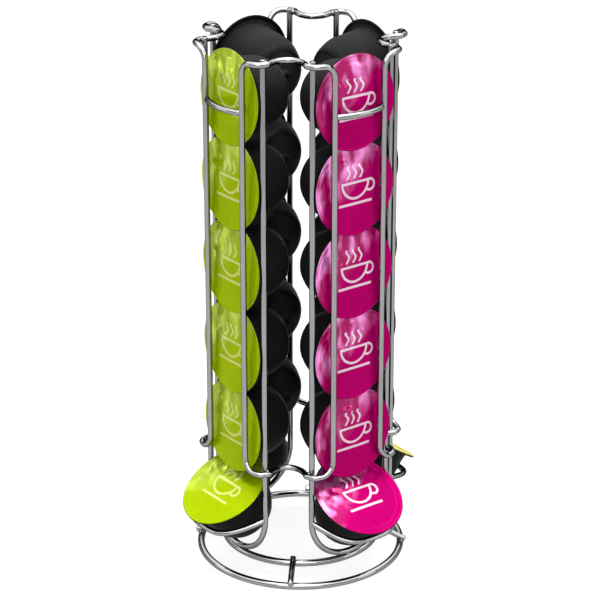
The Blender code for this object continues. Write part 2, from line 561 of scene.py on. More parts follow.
@dataclass(frozen=True)
class CupPlastic:
    """Black moulded plastic: clouded, with a fine grain."""

    name: str
    body: Colour
    worn: Colour
    roughness_low: float
    roughness_high: float
    gloss_level: float
    grain_depth: float
    cloud_scale: float = 70.0
    cloud_detail: float = 4.0
    grain_scale: float = 2600.0
    grain_detail: float = 2.0
    grain_strength: float = 0.25

    def build(self) -> bpy.types.Material:
        """Build the material.

        Returns:
            The plastic's material.
        """
        board = FinishBoard(self.name)
        clouds = board.noise_level(self.cloud_scale, self.cloud_detail)
        grain = board.noise_level(self.grain_scale, self.grain_detail)
        board.dress(
            {
                "Base Color": board.blend(board.spread(clouds), self.body, self.worn),
                "Roughness": board.spread(clouds, self.roughness_low, self.roughness_high),
                "Normal": board.bump(grain, self.grain_depth, self.grain_strength),
                "Specular IOR Level": self.gloss_level,
            }
        )
        return board.material


@dataclass(frozen=True)
class SteamingCup:
    """A plain printed cup with rising steam, over a saucer; sizes in millimetres."""

    rise: float = 3.6
    bowl_radius: float = 9.0
    line_half_width: float = 0.75
    handle_middle: tuple[float, float] = (10.0, -3.0)
    handle_radius: float = 3.1
    saucer_height: float = -12.0
    saucer_half_width: float = 0.80
    saucer_half_length: float = 11.5
    steam_spacing: float = 4.4
    steam_height: float = 6.2
    steam_half_length: float = 4.0
    steam_half_width: float = 0.75
    steam_sway: float = 0.9
    steam_turn: float = 0.85
    edge_sharpness: float = 8.0
    deepest: float = -1.5

    def mask(self, board: NodeBoard) -> Socket:
        """Draw the cup as a mask over the lid's own plane.

        Args:
            board: The material's node helper.

        Returns:
            A level of 1 on the ink and 0 on bare foil.
        """
        across, raised, outward = (
            board.math("MULTIPLY", place, MILLIMETRES_IN_METRE)
            for place in board.coordinates(LID_PLANE)
        )
        upward = board.math("SUBTRACT", raised, self.rise)
        shapes = self.bowl(board, across, upward)
        for draw in (self.handle, self.saucer, self.steam):
            shapes = board.math("MAXIMUM", shapes, draw(board, across, upward))
        return board.math("MULTIPLY", shapes, board.math("GREATER_THAN", outward, self.deepest))

    def bowl(self, board: NodeBoard, across: Socket, upward: Socket) -> Socket:
        """The bowl, a half circle under a straight brim.

        Args:
            board: The material's node helper.
            across: Place across the lid.
            upward: Place up the lid.

        Returns:
            The bowl's mask.
        """
        far = board.distance(across, upward, (0.0, 0.0))
        line = self.inside(board, board.gap(far, self.bowl_radius), self.line_half_width)
        below = self.inside(board, upward, self.line_half_width)
        level = self.inside(board, board.math("ABSOLUTE", upward), self.line_half_width)
        within = self.inside(board, far, self.bowl_radius)
        curve = board.math("MULTIPLY", line, below)
        return board.math("MAXIMUM", curve, board.math("MULTIPLY", level, within))

    def handle(self, board: NodeBoard, across: Socket, upward: Socket) -> Socket:
        """The handle, a ring cut off where it meets the bowl.

        Args:
            board: The material's node helper.
            across: Place across the lid.
            upward: Place up the lid.

        Returns:
            The handle's mask.
        """
        far = board.distance(across, upward, self.handle_middle)
        ring = self.inside(board, board.gap(far, self.handle_radius), self.line_half_width)
        bowl_far = board.distance(across, upward, (0.0, 0.0))
        depth = board.math("SUBTRACT", self.bowl_radius, bowl_far)
        return board.math("MULTIPLY", ring, self.inside(board, depth, 0.0))

    def saucer(self, board: NodeBoard, across: Socket, upward: Socket) -> Socket:
        """The saucer, a long low bar.

        Args:
            board: The material's node helper.
            across: Place across the lid.
            upward: Place up the lid.

        Returns:
            The saucer's mask.
        """
        height = board.gap(upward, self.saucer_height)
        flat = self.inside(board, height, self.saucer_half_width)
        long = self.inside(board, board.math("ABSOLUTE", across), self.saucer_half_length)
        return board.math("MULTIPLY", flat, long)

    def steam(self, board: NodeBoard, across: Socket, upward: Socket) -> Socket:
        """Three wavy strokes over the brim.

        Args:
            board: The material's node helper.
            across: Place across the lid.
            upward: Place up the lid.

        Returns:
            The steam's mask.
        """
        turn = board.math("SINE", board.math("MULTIPLY", upward, self.steam_turn))
        swayed = board.math("ADD", across, board.math("MULTIPLY", turn, self.steam_sway))
        nearest = board.math("ABSOLUTE", swayed)
        for offset in (-self.steam_spacing, self.steam_spacing):
            nearest = board.math("MINIMUM", nearest, board.gap(swayed, offset))
        stroke = self.inside(board, nearest, self.steam_half_width)
        height = board.gap(upward, self.steam_height)
        return board.math("MULTIPLY", stroke, self.inside(board, height, self.steam_half_length))

    def inside(self, board: NodeBoard, level: Socket, limit: float) -> Socket:
        """Mark where a level lies under a limit, with a soft edge.

        Args:
            board: The material's node helper.
            level: The level's socket, in millimetres.
            limit: The limit in millimetres.

        Returns:
            The mark's socket.
        """
        over = board.math("SUBTRACT", limit, level)
        return board.math("MULTIPLY", over, self.edge_sharpness, clamp=True)


@dataclass(frozen=True)
class PrintedFoil:
    """Lacquered aluminium foil in one colour with a light cup printed on it, and a painted sheen
    in patches at its upper left.
    """

    name: str
    body: Colour
    deep: Colour
    ink: Colour
    # Painted sheen: this light tint is mixed into the colour in patches at the upper left, with
    # more metallic there, and stands in for glare on the creases.
    pale: Colour
    metallic: float = 0.20
    metallic_sheen: float = 0.75
    roughness_low: float = 0.24
    roughness_high: float = 0.30
    gloss_level: float = 0.0
    cloud_scale: float = 45.0
    cloud_detail: float = 3.0
    crease_scale: float = 170.0
    crease_detail: float = 0.5
    crease_upright: float = 0.6
    crease_depth: float = 0.00012
    crease_strength: float = 0.30
    creased_range: Range = (0.0, 0.015)
    creased_lean: float = -0.85
    # Size, spread and strength of the painted sheen patches.
    sheen_scale: float = 150.0
    sheen_detail: float = 1.0
    sheen_upright: float = 0.45
    sheen_range: Range = (0.44, 0.64)
    sheen_share: float = 0.90
    coat_rest: float = 0.02
    coat_creased: float = 0.45
    coat_roughness: float = 0.06
    emblem: SteamingCup = field(default_factory=SteamingCup)

    def build(self) -> bpy.types.Material:
        """Build the material.

        Returns:
            The foil's material.
        """
        board = FinishBoard(self.name + "_printed_foil")
        clouds = board.noise_level(self.cloud_scale, self.cloud_detail)
        creases = board.noise_level(self.crease_scale, self.crease_detail, self.crease_upright)
        creased = self.creased_level(board)
        sheen_patches = self.painted_sheen_level(board, creased)
        lacquer = board.blend(board.spread(clouds), self.body, self.deep)
        # Painted sheen: the lacquer colour turns towards the light tint in patches.
        foil = board.blend(sheen_patches, lacquer, self.pale)
        board.dress(
            {
                "Base Color": board.blend(self.emblem.mask(board), foil, self.ink),
                "Roughness": board.spread(creases, self.roughness_low, self.roughness_high),
                "Normal": board.bump(creases, self.crease_depth, self.crease_strength),
                "Metallic": board.share_between(sheen_patches, self.metallic, self.metallic_sheen),
                "Specular IOR Level": self.gloss_level,
                "Coat Weight": board.share_between(creased, self.coat_rest, self.coat_creased),
                "Coat Roughness": self.coat_roughness,
            }
        )
        return board.material

    def creased_level(self, board: NodeBoard) -> Socket:
        """How creased the foil is: 0 on its lower right, 1 at its upper left.

        Args:
            board: The material's node helper.

        Returns:
            The level's socket.
        """
        across, upward, _ = board.coordinates(LID_PLANE)
        aside = board.math("MULTIPLY", across, self.creased_lean)
        return board.ramp(board.math("ADD", upward, aside), self.creased_range, (0.0, 1.0))

    def painted_sheen_level(self, board: NodeBoard, creased: Socket) -> Socket:
        """How strongly the painted sheen shows: lighter patches, in the creased upper left only.

        Args:
            board: The material's node helper.
            creased: How creased the foil is.

        Returns:
            The level's socket.
        """
        noise_level = board.noise_level(self.sheen_scale, self.sheen_detail, self.sheen_upright)
        sheen_patches = board.ramp(noise_level, self.sheen_range, (0.0, 1.0))
        return board.math("MULTIPLY", sheen_patches, board.math("MULTIPLY", creased, self.sheen_share))


def finished_skin(made: bmesh.types.BMesh, name: str) -> bpy.types.Mesh:
    """Turn a built skin into a mesh and let the working copy go.

    Args:
        made: The skin that was built.
        name: The mesh's name.

    Returns:
        The mesh.
    """
    mesh = bpy.data.meshes.new(name)
    made.to_mesh(mesh)
    made.free()
    return mesh


@dataclass(frozen=True)
class Sweep:
    """A round wire carried along a path."""

    radius: float
    side_count: int = 16
    edge_round: float = 0.0005
    edge_steps: int = 3

    def mesh(self, name: str, points: list[Vector], closed: bool) -> bpy.types.Mesh:
        """Build the wire's skin.

        Args:
            name: The mesh's name.
            points: The wire's middle line.
            closed: Whether the wire runs back into its own start.

        Returns:
            The mesh.
        """
        count = len(points)
        tangents = [self.tangent(points, index, closed) for index in range(count)]
        normals = self.carried_normals(tangents)
        twist = self.closing_twist(tangents, normals) if closed else 0.0
        made = bmesh.new()
        rings = []
        for index in range(count):
            spun = Matrix.Rotation(twist * index / count, 3, tangents[index]) @ normals[index]
            rings.append(self.ring(made, points[index], tangents[index], spun, self.radius))
        if not closed:
            rings = self.rounded(made, rings, points, tangents, normals)
        pairs = list(zip(rings, rings[1:]))
        if closed:
            pairs.append((rings[-1], rings[0]))
        for near, far in pairs:
            for side in range(self.side_count):
                following = (side + 1) % self.side_count
                made.faces.new((near[side], near[following], far[following], far[side]))
        if not closed:
            made.faces.new(list(reversed(rings[0])))
            made.faces.new(rings[-1])
        for face in made.faces:
            face.smooth = len(face.verts) == 4
        return finished_skin(made, name)

    def carried_normals(self, tangents: list[Vector]) -> list[Vector]:
        """Carry a direction across the wire along it, without twisting it.

        Args:
            tangents: The wire's direction at each point.

        Returns:
            The direction across the wire at each point.
        """
        normals = [tangents[0].orthogonal().normalized()]
        for before, after in zip(tangents, tangents[1:]):
            turn = before.rotation_difference(after)
            normals.append((turn @ normals[-1]).normalized())
        return normals

    def closing_twist(self, tangents: list[Vector], normals: list[Vector]) -> float:
        """The turn that has to be spread over an endless wire for its ends to meet.

        Args:
            tangents: The wire's direction at each point.
            normals: The carried direction across the wire at each point.

        Returns:
            The turn in radians.
        """
        turn = tangents[-1].rotation_difference(tangents[0])
        carried = (turn @ normals[-1]).normalized()
        across = tangents[0].cross(normals[0])
        return -math.atan2(carried.dot(across), carried.dot(normals[0]))

    def rounded(
        self,
        made: bmesh.types.BMesh,
        rings: list[Ring],
        points: list[Vector],
        tangents: list[Vector],
        normals: list[Vector],
    ) -> list[Ring]:
        """Round the edge of both cut ends, within the wire's length.

        Args:
            made: The mesh being built.
            rings: The wire's rings.
            points: The wire's middle line.
            tangents: The wire's direction at each point.
            normals: A direction across the wire at each point.

        Returns:
            The rings with the rounded ones added at both ends.
        """
        first, final = [], []
        for step in range(self.edge_steps + 1):
            angle = math.pi / 2 * step / self.edge_steps
            inward = self.edge_round * (1 - math.sin(angle))
            radius = self.radius - self.edge_round * (1 - math.cos(angle))
            start = points[0] + tangents[0] * inward
            first.append(self.ring(made, start, tangents[0], normals[0], radius))
            end = points[-1] - tangents[-1] * inward
            final.append(self.ring(made, end, tangents[-1], normals[-1], radius))
        for old in (rings[0], rings[-1]):
            for corner in old:
                made.verts.remove(corner)
        return first[::-1] + rings[1:-1] + final

    def ring(
        self,
        made: bmesh.types.BMesh,
        middle: Vector,
        tangent: Vector,
        normal: Vector,
        radius: float,
    ) -> Ring:
        """Place one ring of points round the wire.

        Args:
            made: The mesh being built.
            middle: The ring's middle.
            tangent: The wire's direction there.
            normal: A direction across the wire.
            radius: The ring's radius.

        Returns:
            The ring's points.
        """
        across = tangent.cross(normal)
        found = []
        for side in range(self.side_count):
            angle = 2 * math.pi * side / self.side_count
            outward = normal * math.cos(angle) + across * math.sin(angle)
            found.append(made.verts.new(middle + outward * radius))
        return found

    def tangent(self, points: list[Vector], index: int, closed: bool) -> Vector:
        """The wire's direction at one point.

        Args:
            points: The wire's middle line.
            index: The point's number.
            closed: Whether the wire runs back into its own start.

        Returns:
            A vector of length 1.
        """
        if closed:
            return (points[(index + 1) % len(points)] - points[index - 1]).normalized()
        before = points[max(index - 1, 0)]
        after = points[min(index + 1, len(points) - 1)]
        return (after - before).normalized()


def place_piece(
    name: str,
    data: bpy.types.Mesh,
    finishes: list[bpy.types.Material],
    body: str,
    nodes: tuple[str, ...] = (),
) -> None:
    """Put a piece in the scene, dress it and make it ride on its body.

    Args:
        name: The piece's name.
        data: Its mesh, already in place.
        finishes: Its materials.
        body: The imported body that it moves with.
        nodes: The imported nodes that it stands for.
    """
    piece = bpy.data.objects.new(name, data)
    bpy.context.scene.collection.objects.link(piece)
    for finish in finishes:
        data.materials.append(finish)
    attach(piece, body)
    if nodes:
        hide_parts(*nodes)


def in_diagonal(reach: float, side: float) -> Vector:
    """Turn a channel's plan place an eighth of a turn, to a loop's own axes.

    Args:
        reach: Distance out from the tower's axis in the channel.
        side: Distance across the channel.

    Returns:
        Distance out along the diagonal and across it.
    """
    return Vector(((reach + side) / math.sqrt(2), (reach - side) / math.sqrt(2)))


@dataclass
class WireStand:
    """The welded stand: rings, spokes, hairpins, loops, tray lips and bars."""

    plan: TowerPlan
    loop_crest_drop: float = 0.0022
    loop_foot_share: float = 0.622
    loop_corner_radius: float = 0.0080
    valley_dip: float = 0.0075
    hump_rise_share: float = 0.702
    hump_rise_wrap_share: float = 0.426
    hump_wrap_shares: tuple[tuple[float, float], ...] = (
        (1.048, 1.307),
        (1.264, 0.496),
        (1.020, -0.098),
        (0.723, -0.747),
        (-0.169, -1.098),
    )
    valley_side_shares: tuple[float, float] = (0.681, 0.434)
    corner_steps: int = 10
    wave_steps: int = 30
    plan_steps: int = 12
    hairpin_bend_steps: int = 48
    lip_end_drop: float = 0.0009
    lip_depth: float = 0.0103
    lip_room: float = 0.0009
    lip_square_power: float = 3.6
    lip_root_share: float = 0.9
    lip_steps: int = 56
    bar_drop: float = 0.0045
    bar_bow: float = 0.0034
    bar_root_share: float = 0.8
    bar_steps: int = 24
    spoke_overhang: float = 0.0016
    spoke_turn: float = math.radians(2.3)
    spoke_steps: int = 8
    ring_steps: int = 128
    ring_side_count: int = 20
    weld_fineness: int = 3
    weld_flatness: float = 0.62
    weld_unevenness: float = 0.07
    weld_lump_scale: float = 1.7
    weld_lump_shift: float = 400.0
    finish: bpy.types.Material | None = None

    @property
    def spoke_rise(self) -> float:
        """Angle at which a spoke climbs from the outer ring to the inner one."""
        climb = self.plan.inner_ring_height - self.plan.ring_wire_radius
        return math.atan2(climb, self.plan.ring_spread)

    @property
    def bar_height(self) -> float:
        """Height of the bars."""
        return self.plan.lid_height(1) - self.bar_drop

    def build(self) -> None:
        """Build and dress every wire of the stand and its welds."""
        self.finish = BrightWire().build()
        plan = self.plan
        self.build_ring("outer_ring", plan.outer_ring_reach, plan.ring_wire_radius)
        self.build_ring("inner_ring", plan.inner_ring_reach, plan.inner_ring_height)
        for diagonal in Diagonal:
            turn = diagonal.turn(4)
            self.build_wire(f"{diagonal.label}_loop", self.loop_points(), turn, True)
            spun = diagonal.turn(4, self.spoke_turn)
            self.build_wire(f"{diagonal.label}_spoke", self.spoke_points(), spun, False)
        for channel in Channel:
            turn = channel.turn(4)
            self.build_wire(f"{channel.label}_hairpin", self.hairpin_points(), turn, False)
            self.build_wire(f"{channel.label}_tray_lip", self.lip_points(), turn, False)
            self.build_wire(f"{channel.label}_bar", self.bar_points(), turn, False)
        self.build_welds()

    def build_wire(self, node: str, points: list[Vector], turn: Matrix, closed: bool) -> None:
        """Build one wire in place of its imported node.

        Args:
            node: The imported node's name.
            points: The wire's middle line, drawn towards +X.
            turn: The turn about the tower's axis that brings it to its place.
            closed: Whether the wire is one endless loop.
        """
        mesh = Sweep(self.plan.wire_radius).mesh(node + "_skin", points, closed)
        mesh.transform(turn)
        place_piece(node + "_wire", mesh, [self.finish], "stand", (node,))
        LOG.info("%s: wire of %d points", node, len(points))

    def build_ring(self, node: str, reach: float, height: float) -> None:
        """Build one ring of the base.

        Args:
            node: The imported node's name.
            reach: Radius of the ring's middle line.
            height: Height of the ring's middle line.
        """
        points = []
        for step in range(self.ring_steps):
            angle = 2 * math.pi * step / self.ring_steps
            points.append(Vector((reach * math.cos(angle), reach * math.sin(angle), height)))
        sweep = Sweep(self.plan.ring_wire_radius, self.ring_side_count)
        mesh = sweep.mesh(node + "_skin", points, True)
        place_piece(node + "_wire", mesh, [self.finish], "stand", (node,))
        LOG.info("%s: ring of radius %.4f", node, reach)

    def leg_spot(self) -> Vector:
        """Plan place of a hairpin's leg beside a loop, in the loop's diagonal."""
        return in_diagonal(self.plan.hairpin_reach, self.plan.hairpin_side)

    def wave_knots(self) -> list[Vector]:
        """Plan points of half a wave, from an upright round a leg to the valley.

        Returns:
            The points that the wave passes through.
        """
        upright = in_diagonal(self.plan.front_wire_reach, self.plan.front_wire_side)
        leg = self.leg_spot()
        wrap = self.plan.wire_diameter + self.plan.part_gap
        rise_side = leg.y + (upright.y - leg.y) * self.hump_rise_share
        knots = [upright, Vector((leg.x + wrap * self.hump_rise_wrap_share, rise_side))]
        for shares in self.hump_wrap_shares:
            knots.append(leg + Vector(shares) * wrap)
        dip_share, side_share = self.valley_side_shares
        knots.append(Vector((leg.x - self.valley_dip * dip_share, leg.y * side_share)))
        knots.append(Vector((leg.x - self.valley_dip, 0.0)))
        return knots

    def wave_curve(self) -> list[Vector]:
        """The plan of half a wave, from an upright to the valley's middle.

        Returns:
            Closely spaced plan points.
        """
        knots = self.wave_knots()
        last = len(knots) - 1
        found = []
        for index in range(last):
            before = knots[max(index - 1, 0)]
            start, end = knots[index], knots[index + 1]
            after = knots[min(index + 2, last)]
            if index + 2 > last:
                after = Vector((start.x, -start.y))
            for step in range(self.plan_steps):
                share = step / self.plan_steps
                found.append(
                    start * ((share - 1) ** 2 * (2 * share + 1))
                    + end * (share**2 * (3 - 2 * share))
                    + (end - before) * (share * (share - 1) ** 2 / 2)
                    + (after - start) * (share**2 * (share - 1) / 2)
                )
        found.append(knots[-1])
        return found

    def half_wave(self, height: float, drop_sign: float) -> list[Vector]:
        """Half of a wave with its corner bend.

        Args:
            height: Height of the wave's middle line.
            drop_sign: -1 where the upright leads down from it and 1 where it leads up.

        Returns:
            Points from the upright's end to the valley's middle.
        """
        curve = self.wave_curve()
        travelled = [0.0]
        for first, second in zip(curve, curve[1:]):
            travelled.append(travelled[-1] + (second - first).length)
        corner = self.loop_corner_radius
        wanted = []
        for step in range(self.corner_steps + 1):
            wanted.append(corner * (1 - math.cos(math.pi / 2 * step / self.corner_steps)))
        rest = travelled[-1] - corner
        for step in range(1, self.wave_steps + 1):
            wanted.append(corner + rest * step / self.wave_steps)
        points = []
        for distance in wanted:
            index = sum(1 for value in travelled[1:-1] if value < distance)
            span = travelled[index + 1] - travelled[index]
            spot = curve[index].lerp(curve[index + 1], (distance - travelled[index]) / span)
            left = max(corner - distance, 0.0)
            drop = corner - math.sqrt(corner**2 - left**2)
            points.append(Vector((spot.x, spot.y, height + drop * drop_sign)))
        return points

    def crest_height(self) -> float:
        """Height of the loops' upper waves."""
        return self.plan.hairpin_top_height - self.loop_crest_drop

    def foot_height(self) -> float:
        """Height of the loops' lower waves."""
        return self.plan.tray_lid_height + self.plan.capsule.rim_radius * self.loop_foot_share

    def loop_points(self) -> list[Vector]:
        """A loop's middle line: over the upper wave and back under the lower one.

        Returns:
            The closed line's points.
        """
        waves = []
        for height, drop_sign in ((self.crest_height(), -1.0), (self.foot_height(), 1.0)):
            half = self.half_wave(height, drop_sign)
            other = [Vector((spot.x, -spot.y, spot.z)) for spot in reversed(half[:-1])]
            waves.append(half + other)
        return waves[0] + waves[1][::-1]

    def hairpin_points(self) -> list[Vector]:
        """A hairpin's middle line: down one leg, round the bend and up the other.

        Returns:
            The line's points.
        """
        reach, side = self.plan.hairpin_reach, self.plan.hairpin_side
        points = [Vector((reach, -side, self.plan.hairpin_top_height))]
        for step in range(self.hairpin_bend_steps + 1):
            angle = math.pi * step / self.hairpin_bend_steps
            height = self.plan.hairpin_bend_height - side * math.sin(angle)
            points.append(Vector((reach, -side * math.cos(angle), height)))
        points.append(Vector((reach, side, self.plan.hairpin_top_height)))
        return points

    def lip_front(self) -> tuple[float, float]:
        """Where a lip's front lies, under the wall of the tray's capsule.

        Returns:
            Its reach and height.
        """
        plan, capsule = self.plan, self.plan.capsule
        wall_run = capsule.wall_depth - capsule.rim_thickness
        wall_share = (self.lip_depth - capsule.rim_thickness) / wall_run
        wall = capsule.neck_radius - capsule.wall_taper * wall_share
        beside = wall + plan.wire_radius + self.lip_room
        lean_out, lean_up = math.sin(plan.tray_lid_tilt), math.cos(plan.tray_lid_tilt)
        reach = plan.tray_lid_reach + beside * lean_out - self.lip_depth * lean_up
        drop = beside * lean_up + self.lip_depth * lean_out
        return reach, plan.tray_lid_height - drop

    def lip_points(self) -> list[Vector]:
        """A tray lip's middle line, from one hairpin leg round to the other.

        Returns:
            The line's points.
        """
        plan = self.plan
        front_reach, front_height = self.lip_front()
        end_height = plan.hairpin_bend_height - self.lip_end_drop
        run = front_reach - plan.hairpin_reach
        start = math.asin(math.sqrt((plan.wire_radius * self.lip_root_share) / run))
        points = []
        for step in range(self.lip_steps + 1):
            angle = start + (math.pi - 2 * start) * step / self.lip_steps
            across = math.cos(angle)
            side = math.copysign(abs(across) ** (2 / self.lip_square_power), across)
            share = math.sin(angle) ** 2
            height = end_height + (front_height - end_height) * share
            place = (plan.hairpin_reach + run * share, side * plan.hairpin_side, height)
            points.append(Vector(place))
        return points

    def bar_points(self) -> list[Vector]:
        """A bar's middle line, bowed outwards between two uprights.

        Returns:
            The line's points.
        """
        end_side = self.plan.front_wire_side - self.plan.wire_radius * self.bar_root_share
        points = []
        for step in range(self.bar_steps + 1):
            share = 2 * step / self.bar_steps - 1
            reach = self.plan.front_wire_reach + self.bar_bow * (1 - share**2)
            points.append(Vector((reach, end_side * share, self.bar_height)))
        return points

    def spoke_over(self) -> Vector:
        """Direction from the rings up to a spoke, square to it."""
        return Vector((math.sin(self.spoke_rise), 0.0, math.cos(self.spoke_rise)))

    def spoke_ends(self) -> tuple[Vector, Vector]:
        """Where a spoke's middle line passes over the outer and the inner ring."""
        plan = self.plan
        lift = self.spoke_over() * (plan.wire_radius + plan.ring_wire_radius)
        outer = Vector((plan.outer_ring_reach, 0.0, plan.ring_wire_radius)) + lift
        inner = Vector((plan.inner_ring_reach, 0.0, plan.inner_ring_height)) + lift
        return outer, inner

    def spoke_points(self) -> list[Vector]:
        """A spoke's middle line, straight over both rings.

        Returns:
            The line's points.
        """
        outer, inner = self.spoke_ends()
        along = Vector((-math.cos(self.spoke_rise), 0.0, math.sin(self.spoke_rise)))
        start = outer - along * self.spoke_overhang
        run = (inner - outer).dot(along) + 2 * self.spoke_overhang
        steps = self.spoke_steps
        return [start + along * (run * step / steps) for step in range(steps + 1)]

    def build_welds(self) -> None:
        """Build the small pools of metal where the wires are welded together."""
        groups = {
            "foot_welds": self.foot_weld_spots(),
            "wave_welds": self.wave_weld_spots(),
            "tray_welds": self.tray_weld_spots(),
            "bar_welds": self.bar_weld_spots(),
        }
        for name, spots in groups.items():
            self.build_weld_group(name, spots)

    def foot_weld_spots(self) -> WeldSpots:
        """Find the welds on the rings.

        Returns:
            Middle and direction of each weld.
        """
        plan, over = self.plan, self.spoke_over()
        spots = []
        for diagonal in Diagonal:
            spun = diagonal.turn(3, self.spoke_turn)
            for spot in self.spoke_ends():
                spots.append((spun @ (spot - over * plan.wire_radius), spun @ over))
        reach = (plan.hairpin_reach + plan.inner_ring_reach) / 2
        foot = Vector((reach, 0.0, plan.inner_ring_height + plan.ring_wire_radius))
        for channel in Channel:
            turn = channel.turn(3)
            spots.append((turn @ foot, Vector((0.0, 0.0, 1.0))))
        return spots

    def wave_weld_spots(self) -> WeldSpots:
        """Find the welds between the loops and the hairpins.

        Returns:
            Middle and direction of each weld.
        """
        leg = self.leg_spot()
        nearest = min(self.wave_curve(), key=lambda spot: (spot - leg).length)
        away = (nearest - leg).normalized()
        contact = leg + away * (self.plan.wire_radius + self.plan.part_gap / 2)
        spots = []
        for diagonal in Diagonal:
            turn = diagonal.turn(3)
            for sign in (-1.0, 1.0):
                facing = turn @ Vector((away.x, away.y * sign, 0.0))
                for height in (self.crest_height(), self.foot_height()):
                    place = turn @ Vector((contact.x, contact.y * sign, height))
                    spots.append((place, facing))
        return spots

    def tray_weld_spots(self) -> WeldSpots:
        """Find the welds at the tray lips' ends.

        Returns:
            Middle and direction of each weld.
        """
        points = self.lip_points()
        spots = []
        for channel in Channel:
            turn = channel.turn(3)
            for end in (points[0], points[-1]):
                root = Vector((self.plan.hairpin_reach + self.plan.wire_radius, end.y, end.z))
                spots.append((turn @ root, turn @ Vector((1.0, 0.0, 0.0))))
        return spots

    def bar_weld_spots(self) -> WeldSpots:
        """Find the welds at the bars' ends.

        Returns:
            Middle and direction of each weld.
        """
        reach = self.plan.front_wire_reach
        side = self.plan.front_wire_side - self.plan.wire_radius
        spots = []
        for channel in Channel:
            turn = channel.turn(3)
            for sign in (-1.0, 1.0):
                end = Vector((reach, sign * side, self.bar_height))
                spots.append((turn @ end, turn @ Vector((0.0, 1.0, 0.0))))
        return spots

    def build_weld_group(self, name: str, spots: WeldSpots) -> None:
        """Build one group of welds as a single piece.

        Args:
            name: The piece's name.
            spots: Middle of each weld and the direction from wire to wire.
        """
        made = bmesh.new()
        for middle, axis in spots:
            ball = bmesh.ops.create_icosphere(made, subdivisions=self.weld_fineness, radius=1.0)
            facing = axis.to_track_quat("Z", "Y").to_matrix()
            for corner in ball["verts"]:
                spot = corner.co * self.weld_lump_scale + middle * self.weld_lump_shift
                lump = 1 + self.weld_unevenness * noise.noise(spot)
                flat = Vector((corner.co.x, corner.co.y, corner.co.z * self.weld_flatness))
                corner.co = middle + facing @ (flat * (self.plan.wire_radius * lump))
        for face in made.faces:
            face.smooth = True
        skin = finished_skin(made, name + "_skin")
        place_piece(name, skin, [self.finish], "stand")
        LOG.info("%s: %d welds", name, len(spots))


